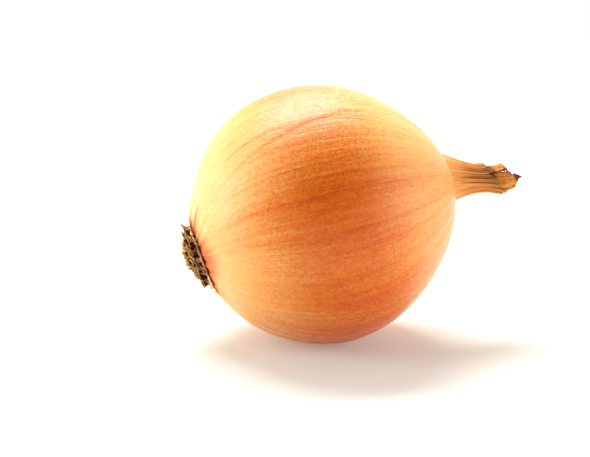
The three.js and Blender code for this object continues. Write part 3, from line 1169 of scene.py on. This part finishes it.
    def build(self, bed: Bed, material: bpy.types.Material) -> bpy.types.Object:
        """Works out the skin and puts it in the bulb's place.

        Args:
            bed: where the onion lies.
            material: the skin's finish.

        Returns:
            The piece.
        """
        growth = bed.growth
        neck_base, neck_end = growth.neck_base, growth.neck_end
        profile_radius, profile_along = self.outline(growth)
        bearing, radius = np.meshgrid(all_round(self.columns), profile_radius)
        along = np.repeat(profile_along[:, None], self.columns, axis=1)
        row = np.arange(len(profile_radius))
        end_row = len(profile_radius) - self.inside_rows - 2
        is_inside = (row > end_row)[:, None]
        across, up = np.gradient(profile_radius, row), np.gradient(profile_along, row)
        size = np.hypot(across, up)
        out, forth = (up / size)[:, None], (-across / size)[:, None]
        stands = np.where(is_inside, 0, self.relief(bearing, along, growth))
        fold = self.folds(bearing, along, growth)
        folding = ease(along, neck_base + self.folds_start, neck_base + self.folds_full)
        folding = np.where(is_inside, 1.0, folding)
        flare = self.end_flare * ease(along, neck_end - self.flare_reach, neck_end + 0.1)
        squeeze = self.fold_height * folding * (0.5 - fold) + flare
        points = round_points(bearing, radius + stands * out + squeeze, along + stands * forth)
        torn = self.end_ripple.height(bearing, np.zeros_like(bearing))
        slant = self.end_tear * torn - self.end_slant * np.sin(bearing)
        near_end = ease(along, neck_end - self.tear_reach, neck_end)
        points[..., 1] += slant * np.where(is_inside, 1.0, near_end)
        degrees = np.degrees(bearing) + self.twist * along
        spoke = ease(along, self.spokes_start, self.spokes_end) * patches(bearing, self.spokes)
        browning = ease(along, neck_base + self.brown_start, neck_base + self.brown_full)
        # Painted shade inside the neck's end, growing over the first rows down the hollow.
        hollow_shade = ease(row, end_row, end_row + self.hollow_rows)[:, None]
        traits = {
            "growth_vector": growth_vector(np.radians(degrees), along),
            "fold": np.where(along > neck_base - 2, fold, 0.0),
            "redness": spoke * self.spoke_redness,
            "flush": patches(bearing, self.flushes),
            "brownness": browning * patches(bearing, self.brown_sides),
            "hollow": np.where(is_inside, hollow_shade, 0.0) * np.ones_like(radius),
        }
        turns = np.concatenate([degrees, degrees[:, :1] + 360], axis=1) / 360 + 0.5
        mesh = weave("bulb_skin", bed.press_flat(points), Ends.CAPPED, traits, turns)
        return place_piece("bulb_skin", mesh, material, "bulb")


# ---- The root end --------------------------------------------------------------------------------


@dataclass(frozen=True)
class RootPlate:
    """The corky plate: a dome of cells whose walls stand up round dark pits."""

    columns: int = 220
    face_rows: int = 60
    face_margin: float = 0.15
    side_rows: int = 5
    side_start: float = 0.35
    inner_radii: tuple[float, ...] = (5.0, 0.1)
    cell_count: int = 62
    cell_seed: int = 41
    cell_reach: float = 1.02
    cell_jitter: float = 0.28
    wall_width: float = 0.62
    wall_height: float = 0.80
    wall_least: float = 0.55
    pit_depth: float = 0.45
    rough_height: float = 0.13
    rough: Crumple = Crumple(42, 1.1)
    uneven: Crumple = Crumple(43, 3.0)
    wobble_height: float = 0.14
    wobble: Crumple = Crumple(44, 1.6)
    edge_start: float = 0.4

    def cells(self, across: np.ndarray, up: np.ndarray, plate_radius: float) -> np.ndarray:
        """How near each point of the face is to a wall between two cells, from 0 to 1.

        The cells' middles are a seeded sunflower spiral, each pushed a little aside. The wall is
        exp(-(d / width)^2), d how much farther the second nearest middle is than the nearest.

        Args:
            across: how far each point is from the axis sideways.
            up: how far it is from the axis upwards.
            plate_radius: the plate's radius.

        Returns:
            1 on a wall, falling to 0 in the cells.
        """
        rng = np.random.default_rng(self.cell_seed)
        number = np.arange(self.cell_count) + 0.5
        far = plate_radius * self.cell_reach * np.sqrt(number / self.cell_count)
        angle = number * GOLDEN_ANGLE
        jitter = rng.normal(0, self.cell_jitter, (2, self.cell_count))
        away = np.hypot(
            across[..., None] - far * np.cos(angle) - jitter[0],
            up[..., None] - far * np.sin(angle) - jitter[1],
        )
        away.partition(1, axis=-1)
        return np.exp(-(((away[..., 1] - away[..., 0]) / self.wall_width) ** 2))

    def build(self, bed: Bed, material: bpy.types.Material) -> bpy.types.Object:
        """Works out the plate from the middle of its outer face round to the middle of its inner one.

        Args:
            bed: where the onion lies.
            material: the plate's finish.

        Returns:
            The piece.
        """
        growth = bed.growth
        plate_radius, inner = growth.plate_radius, growth.plate_inner
        face = np.linspace(0.01, 1, self.face_rows) * (plate_radius - self.face_margin)
        side = np.linspace(growth.plate_outer + self.side_start, inner, self.side_rows)
        radius = np.concatenate([face, np.full(self.side_rows, plate_radius), self.inner_radii])
        along = np.concatenate([growth.plate_face(face), side, [inner] * len(self.inner_radii)])
        bearing, radius = np.meshgrid(all_round(self.columns), radius)
        along = np.repeat(along[:, None], self.columns, axis=1)
        wall = self.cells(radius * np.cos(bearing), radius * np.sin(bearing), plate_radius)
        outer = (np.arange(len(along)) < self.face_rows)[:, None] * np.ones_like(wall)
        points = round_points(bearing, radius, along)
        rough = self.rough.height(points) * self.rough_height
        change = (1 - self.wall_least) * np.clip(self.uneven.height(points), -1, 1)
        uneven = self.wall_least + change
        stand = wall * self.wall_height * uneven - (1 - wall) * self.pit_depth + rough
        points[..., 1] -= outer * stand
        wobble = self.wobble_height * self.wobble.height(points)
        near_side = ease(radius, plate_radius - 1.0, plate_radius)
        points += (near_side * wobble)[..., None] * round_points(bearing, 1.0, 0 * along)
        traits = {"edge": wall * outer * np.clip(self.edge_start + uneven, 0, 1)}
        mesh = weave("root_plate_cork", bed.settle(points), Ends.CAPPED, traits)
        return place_piece("root_plate_cork", mesh, material, "root_plate")


@dataclass(frozen=True)
class RootRing:
    """How many dead roots stand on one ring of the plate, how far out, and how far they lean."""

    count: int
    radius: float
    splay: float


@dataclass(frozen=True)
class RootStubs:
    """The dead roots: short dry tubes, hollow where their cores have shrunk away."""

    rings: tuple[RootRing, ...] = (
        RootRing(1, 0.0, 0.3),
        RootRing(5, 2.4, 0.3),
        RootRing(9, 4.6, 0.5),
        RootRing(13, 6.7, 0.5),
    )
    thickness: float = 2.1
    least_thick: float = 1.1
    most_thick: float = 1.55
    length: float = 1.8
    length_change: float = 0.15
    least_length: float = 0.85
    most_length: float = 1.2
    upsweep: float = 0.4
    crown_lift: float = 0.9
    middle_longer: float = 1.5
    ring_shorter: float = 0.75
    top_shorter: float = 0.45
    top_lift: float = 0.5
    lean_change: float = 0.25
    sway_change: float = 0.3
    columns: int = 28
    outside_rows: int = 9
    inside_rows: int = 7
    sunk: float = -0.25
    rim_top: float = 1.02
    hollow_end: float = 0.25
    hollow_floor: float = 0.22
    flare: float = 1.12
    inner_start: float = 0.82
    inner_end: float = 0.6
    floor_width: float = 0.2
    edge_power: float = 4
    oval: float = 0.22
    three_sided: float = 0.12
    ribbed: float = 0.05
    rag: float = 0.09
    fine_rag: float = 0.05
    rough_height: float = 0.07
    rough_wavelength: float = 0.8
    rough_seed: int = 101
    seed: int = 51

    def profile(self) -> tuple[np.ndarray, np.ndarray, np.ndarray]:
        """How high, how wide and how near the rim each row is: outside, rim, inside and floor."""
        outside, inside = self.outside_rows, self.inside_rows
        height = [
            np.linspace(self.sunk, 1, outside),
            [self.rim_top],
            np.linspace(1, self.hollow_end, inside),
            [self.hollow_floor],
        ]
        width = [
            np.linspace(1, self.flare, outside),
            [1.0],
            np.linspace(self.inner_start, self.inner_end, inside),
            [self.floor_width],
        ]
        edge = [
            np.linspace(0, 1, outside) ** self.edge_power,
            [1.0],
            np.linspace(0.8, 0, inside),
            [0.0],
        ]
        return np.concatenate(height), np.concatenate(width), np.concatenate(edge)

    def one(
        self, growth: Growth, bearing: float, ring: RootRing, number: int
    ) -> tuple[np.ndarray, np.ndarray]:
        """One root as a grid: up its outside, over its rim, and down its inside.

        The section is an ellipse with three and seven waves round it. The middle leaves the plate
        along the axis and leans outwards with the square of the way up.

        Args:
            growth: the onion's sizes.
            bearing: where the root stands round the plate, in radians.
            ring: the ring it stands on.
            number: which root it is, from 1.

        Returns:
            The points, and how near each is to the rim.
        """
        rng = np.random.default_rng(self.seed + number)
        outward = ring.radius / growth.plate_radius
        change = 1 - self.length_change + self.length_change * math.sin(2.4 * number)
        height = self.length * change * rng.uniform(self.least_length, self.most_length)
        height *= self.middle_longer - self.ring_shorter * outward**2
        upper = max(0.0, math.sin(bearing)) * outward
        height *= 1 - self.top_shorter * upper
        thick = self.thickness / 2 * rng.uniform(self.least_thick, self.most_thick)
        up, wide, edge = self.profile()
        angle = np.linspace(0, FULL_TURN, self.columns, endpoint=False)
        phases = rng.uniform(0, FULL_TURN, 4)
        section = 1 + self.oval * np.cos(2 * angle + phases[0])
        section += self.three_sided * np.cos(3 * angle + phases[1])
        section += self.ribbed * np.cos(7 * angle + phases[2])
        rag = 1 + self.rag * np.cos(3 * angle + phases[3]) + self.fine_rag * np.cos(8 * angle + phases[0])
        share = np.clip(up, 0, None)[:, None] * rag
        rise = np.where(up[:, None] < 0, up[:, None], share) * height
        lean = (ring.splay + self.top_lift * upper + rng.normal(0, self.lean_change)) * share**2
        sway = rng.normal(0, self.sway_change) * share**2
        spread = thick * section * wide[:, None]
        outwards = ring.radius + lean + spread * np.cos(angle)
        aside = sway + spread * np.sin(angle)
        x = outwards * math.cos(bearing) - aside * math.sin(bearing)
        z = outwards * math.sin(bearing) + aside * math.cos(bearing)
        foot = float(growth.plate_face(np.array(ring.radius)))
        points = np.stack([x, foot - rise, z + self.crown_lift + self.upsweep * share**1.5], axis=-1)
        rough = Crumple(self.rough_seed + number, self.rough_wavelength)
        points += (self.rough_height * rough.height(points))[..., None]
        return points, np.repeat(edge[:, None], self.columns, axis=1)

    def build(self, bed: Bed, material: bpy.types.Material) -> list[bpy.types.Object]:
        """Makes each root in its node's place, ring by ring.

        Args:
            bed: where the onion lies.
            material: the roots' finish.

        Returns:
            The pieces.
        """
        made = []
        for ring in self.rings:
            for step in range(ring.count):
                number = len(made) + 1
                bearing = FULL_TURN * (step + 0.5 * (ring.count % 2)) / ring.count
                points, edge = self.one(bed.growth, bearing, ring, number)
                name = f"root_stub_{number:02d}"
                mesh = weave(name, bed.settle(points), Ends.CAPPED, {"edge": edge})
                made.append(place_piece(name, mesh, material, f"root_{number:02d}"))
        return made


@dataclass(frozen=True)
class SkinCollar:
    """The ring of an older skin round the plate, thin, ragged and standing off the bulb."""

    columns: int = 360
    half_rows: int = 11
    foot_radius: float = 8.1
    foot_along: float = -31.9
    height: float = 1.55
    flare: float = 0.30
    top_flare: float = 0.7
    top_spread: float = 45.0
    wave_height: float = 0.12
    wave: Ripple = Ripple(63, 2, 9, 8, 0)
    shard_bearing: float = 306.0
    shard_spread: float = 23.0
    shard_reach: float = 3.2
    shard_outwards: float = 0.93
    shard_clear: float = 0.50
    shard_wave: float = 0.1
    shard_thickness: float = 0.2
    tear: float = 0.16
    coarse_tear: float = 0.7
    coarse_ripple: Ripple = Ripple(61, 3, 12, 9, 0)
    fine_tear: float = 0.5
    fine_ripple: Ripple = Ripple(62, 16, 60, 14, 0)
    thickness: float = 0.20
    rough_height: float = 0.05
    rough: Crumple = Crumple(64, 1.2)
    # Where the painted shade at the collar's foot starts and is full, below its top.
    painted_shade_from: float = 0.1
    painted_shade_to: float = 0.6

    def build(self, bed: Bed, material: bpy.types.Material) -> bpy.types.Object:
        """Works out the collar: up its outer side and back down its inner side.

        The sheet stands in the gap between the plate and the skin, flaring as the square of the way
        up. Its height is made ragged by ripples, and at the shard it folds over outwards and lies
        along the bulb, which the ellipse of the root end gives.

        Args:
            bed: where the onion lies.
            material: the old skin's finish.

        Returns:
            The piece.
        """
        growth = bed.growth
        there = np.linspace(0, 1, self.half_rows)
        share = np.concatenate([there, there[::-1]])[:, None]
        side = np.concatenate([np.ones(self.half_rows), -np.ones(self.half_rows)])[:, None]
        bearing = all_round(self.columns)[None, :]
        nothing = np.zeros_like(bearing)
        ragged = self.coarse_tear * self.coarse_ripple.height(bearing, nothing)
        ragged = ragged + self.fine_tear * self.fine_ripple.height(bearing, nothing)
        height = self.height + self.tear * ragged
        shard = self.shard_reach * hump(bearing, self.shard_bearing, self.shard_spread)
        reach = share * (height + shard)
        folded = np.clip(reach - height, 0, None)
        risen = np.minimum(reach, height)
        wave = self.wave_height * self.wave.height(bearing, nothing)
        flare = self.flare + wave + self.top_flare * hump(bearing, 90.0, self.top_spread)
        radius = self.foot_radius + flare * (risen / self.height) ** 2 + folded * self.shard_outwards
        radius = radius + side * self.thickness / 2 * (1 - 0.5 * share**6)
        on_skin = -growth.root_reach(np.clip(radius, 0, 30)) - self.shard_clear
        on_skin = on_skin - self.shard_wave * np.cos(3 * folded)
        along = self.foot_along - risen
        along = along + ease(folded, 0.0, 0.8) * (on_skin - along)
        along = along - (1 - side) / 2 * self.shard_thickness * ease(folded, 0.0, 0.5)
        turn = np.broadcast_to(bearing, radius.shape)
        points = round_points(turn, radius, along)
        points += (self.rough_height * self.rough.height(points))[..., None]
        # Painted shade: the collar's foot, down in the gap by the plate, is darkened.
        sunk = ease(risen, self.height - self.painted_shade_from, self.height - self.painted_shade_to)
        traits = {
            "edge": np.broadcast_to(share**3, radius.shape).copy(),
            "sunk": np.broadcast_to(sunk, radius.shape).copy(),
            "growth_vector": growth_vector(turn, along),
        }
        mesh = weave("old_skin_collar", bed.settle(points), Ends.JOINED, traits)
        return place_piece("old_skin_collar", mesh, material, "skin_collar")


# ---- The neck end --------------------------------------------------------------------------------


@dataclass(frozen=True)
class LeafEnd:
    """One withered leaf end: a cupped sheet that stands out of the neck, crumpled and torn."""

    number: int
    bearing: float
    spread: float
    radius: float
    length: float
    curl: float
    taper: float
    tear: float
    crumple: float
    closing: float
    point: float
    half_columns: int = 48
    rows: int = 44
    root_depth: float = 2.2
    thickness: float = 0.30
    belly: float = 0.12
    closing_reach: float = 0.96
    wrinkle: float = 0.16
    fine_wrinkle: float = 0.09
    wrinkle_foot: float = 0.3
    wrinkle_growth: float = 1.2
    crumple_wavelength: float = 3.2
    # Painted shade where the leaf goes down into the neck.
    painted_shade_above: float = 1.7
    painted_shade_below: float = 0.2
    painted_shade_depth: float = 0.85

    def build(self, bed: Bed, material: bpy.types.Material) -> bpy.types.Object:
        """Works out the leaf end as a flattened tube round its own sheet.

        Across it follows a circle round the neck's axis, which closes towards the tip as
        sqrt(1 - out^closing), so the leaf ends like a spoon or a blunt cup. Its tip is rounded and
        torn by ripples, wrinkles run lengthwise, and noise in space crumples it towards the tip.

        Args:
            bed: where the onion lies.
            material: the leaf's finish.

        Returns:
            The piece.
        """
        growth = bed.growth
        middle = math.radians(self.bearing)
        side = np.linspace(-1, 1, self.half_columns)
        across = np.concatenate([side, side[::-1]])[None, :]
        face = np.concatenate([np.ones(self.half_columns), -np.ones(self.half_columns)])[None, :]
        share = np.linspace(0, 1, self.rows)[:, None]
        rag = Ripple(70 + self.number, 1, 5, 8, 0).height(across * 1.6, np.zeros_like(across))
        tip = 1 - self.point * across**2 + self.tear * rag
        along = growth.neck_end - self.root_depth + (self.length + self.root_depth) * share * tip
        out = np.clip((along - growth.neck_end) / self.length, 0, 1.3)
        to_tip = np.clip(out, 0, 1)
        narrowing = 1 - self.taper * out**2
        bearing = middle + np.radians(self.spread) * across * narrowing
        wrinkle = self.wrinkle * np.cos(9 * across + self.number)
        wrinkle = wrinkle + self.fine_wrinkle * np.cos(23 * across + 2)
        edge = np.maximum(ease(share * np.ones_like(across), 0.78, 1.0), ease(np.abs(across), 0.9, 1.0))
        thin = self.thickness * (0.5 + 0.5 * (1 - edge))
        closed = np.sqrt(1 - (self.closing_reach * to_tip) ** self.closing)
        radius = self.radius * closed * (1 + self.belly * np.sin(math.pi * to_tip))
        radius = radius + wrinkle * (self.wrinkle_foot + self.wrinkle_growth * out) + face * thin / 2
        points = round_points(bearing, radius, along)
        points += (self.curl * out**2)[..., None] * np.array([math.cos(middle), 0, math.sin(middle)])
        sheet = points - (face * thin / 2)[..., None] * round_points(bearing, 1.0, 0 * along)
        for axis in range(3):
            noise = Crumple(81 + 10 * self.number + axis, self.crumple_wavelength).height(sheet)
            points[..., axis] += self.crumple * out * noise
        # Painted shade: the leaf is darkened where it goes down into the neck.
        painted_shade_from, painted_shade_to = growth.neck_end + self.painted_shade_above, growth.neck_end - self.painted_shade_below
        traits = {
            "edge": edge * np.ones_like(radius),
            "sunk": ease(along, painted_shade_from, painted_shade_to) * self.painted_shade_depth,
            "growth_vector": growth_vector(bearing, along),
        }
        name = f"withered_leaf_{self.number}"
        mesh = weave(name, bed.settle(points), Ends.CAPPED, traits)
        return place_piece(name, mesh, material, f"leaf_end_{self.number}")


# ---- The studio ----------------------------------------------------------------------------------


@dataclass(frozen=True)
class Softbox:
    """One soft light: where it shines from as seen from the onion, its size and its power."""

    name: str
    azimuth: float
    elevation: float
    distance: float
    width: float
    height: float
    power: float
    colour: tuple[float, float, float] = (1.0, 0.99, 0.96)

    def build(self, target: Vector) -> None:
        """Hangs the light and points it at the target."""
        light = bpy.data.lights.new(self.name, "AREA")
        light.shape = "RECTANGLE"
        light.size, light.size_y = self.width, self.height
        light.energy = self.power
        light.color = self.colour
        lamp = bpy.data.objects.new(self.name, light)
        bpy.context.scene.collection.objects.link(lamp)
        away = direction(self.azimuth, self.elevation)
        lamp.location = target + away * self.distance
        lamp.rotation_mode = "QUATERNION"
        lamp.rotation_quaternion = away.to_track_quat("Z", "Y")
        log.info("%s hangs %.2f m away", self.name, self.distance)


def direction(azimuth: float, elevation: float) -> Vector:
    """The way from the onion at an azimuth, 0 towards -Y and 90 towards +X, and an elevation."""
    a, e = math.radians(azimuth), math.radians(elevation)
    return Vector((math.sin(a) * math.cos(e), -math.cos(a) * math.cos(e), math.sin(e)))


@dataclass(frozen=True)
class Studio:
    """A pale floor in a white tent, with soft lights and the camera, in metres and degrees.

    The floor glows faintly near the onion and more from glow_start to glow_end, so that it is white
    without washing out the shadow. The tent is darker round the shade's direction, which is the
    camera's side, between the cosines shade_wide and shade_narrow.
    """

    floor_size: float = 6.0
    floor_points: int = 9
    floor_brightness: float = 0.56
    floor_duller: float = 0.985
    floor_grain: float = 400.0
    floor_roughness: float = 0.95
    floor_gloss: float = 0.1
    glow: float = 0.68
    glow_start: float = 0.12
    glow_end: float = 0.45
    glow_least: float = 0.35
    glow_tint: tuple[float, float, float] = (1.0, 0.90, 0.78)
    tent_strength: float = 1.28
    warmth: Colour = (1.0, 0.95, 0.84, 1)
    shade_strength: float = 0.05
    shade_azimuth: float = -14.0
    shade_elevation: float = 28.0
    shade_narrow: float = 0.80
    shade_wide: float = -0.10
    softboxes: tuple[Softbox, ...] = (
        Softbox("top_softbox", 189.0, 62.0, 0.8, 0.62, 0.24, 11.5),
        Softbox("left_softbox", -102.0, 11.0, 0.8, 0.15, 0.30, 3.6),
        Softbox("key_softbox", -82.0, 42.0, 0.9, 0.90, 0.60, 3.0),
        Softbox("right_softbox", 66.0, 12.0, 0.9, 0.60, 0.60, 4.6),
    )
    middle: tuple[float, float, float] = (0.00195, 0, 0.00022)
    camera_azimuth: float = -10.0
    camera_elevation: float = 10.76
    camera_distance: float = 0.3103
    camera_aside: float = 0.00782
    camera_below: float = 0.00391
    lens: float = 70.2
    sensor: float = 36.0

    def build_floor(self) -> None:
        """A flat pale floor, a grid of points at height 0, which is no part of the onion."""
        half, count = self.floor_size / 2, self.floor_points
        steps = np.linspace(-half, half, count)
        x, y = np.meshgrid(steps, steps)
        points = np.stack([x, y, np.zeros_like(x)], axis=-1).reshape(-1, 3)
        index = np.arange(count * count).reshape(count, count)
        corners = [index[:-1, :-1], index[:-1, 1:], index[1:, 1:], index[1:, :-1]]
        faces = np.stack(corners, axis=-1).reshape(-1, 4)
        mesh = bpy.data.meshes.new("studio_floor")
        mesh.from_pydata(points.tolist(), [], faces.tolist())
        material, wiring, shader = open_material("floor_paper")
        away = wiring.vector("LENGTH", wiring.place()).outputs["Value"]
        glows = [
            wiring.step(away, self.glow_start, self.glow_end, self.glow_least * tint, 1.0)
            for tint in self.glow_tint
        ]
        white = (self.floor_brightness,) * 3 + (1,)
        duller = (self.floor_brightness * self.floor_duller,) * 3 + (1,)
        finish = {
            "Base Color": wiring.mix(wiring.noise(wiring.place(), self.floor_grain), duller, white),
            "Roughness": self.floor_roughness,
            "Specular IOR Level": self.floor_gloss,
            "Emission Color": wiring.node("ShaderNodeCombineColor", dict(enumerate(glows))).outputs[0],
            "Emission Strength": self.glow,
        }
        wiring.fill(shader, finish)
        floor = bpy.data.objects.new("studio_floor", mesh)
        mesh.materials.append(material)
        bpy.context.scene.collection.objects.link(floor)

    def build_world(self) -> None:
        """White to the camera; as light, a white tent that is darker round the camera's side."""
        world = bpy.data.worlds.new("studio_tent")
        bpy.context.scene.world = world
        world.use_nodes = True
        world.node_tree.nodes.clear()
        wiring = Wiring(world.node_tree)
        looking = wiring.node("ShaderNodeTexCoord").outputs["Generated"]
        centre = tuple(direction(self.shade_azimuth, self.shade_elevation))
        facing = wiring.vector("DOT_PRODUCT", looking, centre).outputs["Value"]
        light = wiring.step(
            facing, self.shade_narrow, self.shade_wide, self.shade_strength, self.tent_strength
        )
        tent = wiring.node("ShaderNodeBackground", {"Color": self.warmth, "Strength": light})
        white = wiring.node("ShaderNodeBackground", {"Color": (1, 1, 1, 1), "Strength": 1.0})
        seen = wiring.node("ShaderNodeLightPath").outputs["Is Camera Ray"]
        shown = wiring.node("ShaderNodeMixShader", {0: seen, 1: tent.outputs[0], 2: white.outputs[0]})
        wiring.node("ShaderNodeOutputWorld", {"Surface": shown.outputs[0]})

    def build_camera(self, middle: Vector) -> None:
        """Sets the camera: level with its own horizon, aimed a little left of and below the middle."""
        back = direction(self.camera_azimuth, self.camera_elevation)
        right = Vector((0, 0, 1)).cross(back).normalized()
        up = back.cross(right)
        camera = bpy.data.objects.new("camera", bpy.data.cameras.new("camera"))
        camera.data.lens = self.lens
        camera.data.sensor_width = self.sensor
        camera.data.clip_start, camera.data.clip_end = 0.01, 50.0
        place = middle + back * self.camera_distance
        place -= right * self.camera_aside + up * self.camera_below
        axes = Matrix((right, up, back)).transposed().to_4x4()
        camera.matrix_world = Matrix.Translation(place) @ axes
        bpy.context.scene.collection.objects.link(camera)
        bpy.context.scene.camera = camera

    def build(self, bed: Bed) -> None:
        """Sets up the floor, the tent, the lights and the camera round the lying onion."""
        middle = Vector(bed.shift) + Vector(self.middle)
        self.build_floor()
        self.build_world()
        self.build_camera(middle)
        for softbox in self.softboxes:
            softbox.build(middle)
        bpy.context.scene.view_settings.view_transform = "Standard"


# ---- All together --------------------------------------------------------------------------------


def make_onion(bed: Bed, effects: Effects) -> None:
    """Builds the onion's pieces in order, each group with its own finish.

    Args:
        bed: where the onion lies.
        effects: the shared groups.
    """
    # The first colour of each cork, near black, is painted shade in the pits.
    cork = CorkFinish("cork", (0.014, 0.004, 0.002, 1), (0.13, 0.038, 0.011, 1), (0.74, 0.42, 0.15, 1))
    root = CorkFinish(
        "dead_root", (0.018, 0.004, 0.001, 1), (0.27, 0.080, 0.020, 1), (0.90, 0.54, 0.21, 1)
    )
    old_skin = PaperFinish(
        "old_skin",
        (0.84, 0.56, 0.27, 1),
        (0.62, 0.30, 0.11, 1),
        (0.90, 0.68, 0.40, 1),
        (0.080, 0.010, 0.003, 1),
    )
    leaf = PaperFinish(
        "withered_leaf", (0.74, 0.33, 0.065, 1), (0.42, 0.125, 0.015, 1), (0.160, 0.043, 0.008, 1)
    )
    BulbSkin().build(bed, SkinFinish().material(effects))
    RootPlate().build(bed, cork.material(effects))
    RootStubs().build(bed, root.material(effects))
    SkinCollar().build(bed, old_skin.material(effects))
    leaf_paper = leaf.material(effects)
    leaf_ends = (
        LeafEnd(1, 95.0, 58.0, 3.45, 5.2, 0.6, 0.10, 0.09, 0.32, 7.0, 0.20),
        LeafEnd(2, 185.0, 62.0, 2.90, 5.6, 0.0, 0.20, 0.14, 0.35, 4.0, 0.40),
        LeafEnd(3, 318.0, 80.0, 3.50, 7.8, -2.0, 0.05, 0.08, 0.38, 3.4, 0.24),
    )
    for leaf_end in leaf_ends:
        leaf_end.build(bed, leaf_paper)


def main() -> None:
    """Builds the onion, then the studio."""
    logging.basicConfig(level=logging.INFO, format="%(message)s")
    bed = make_bed(Growth())
    make_onion(bed, make_effects())
    Studio().build(bed)


if __name__ == "__main__":
    main()
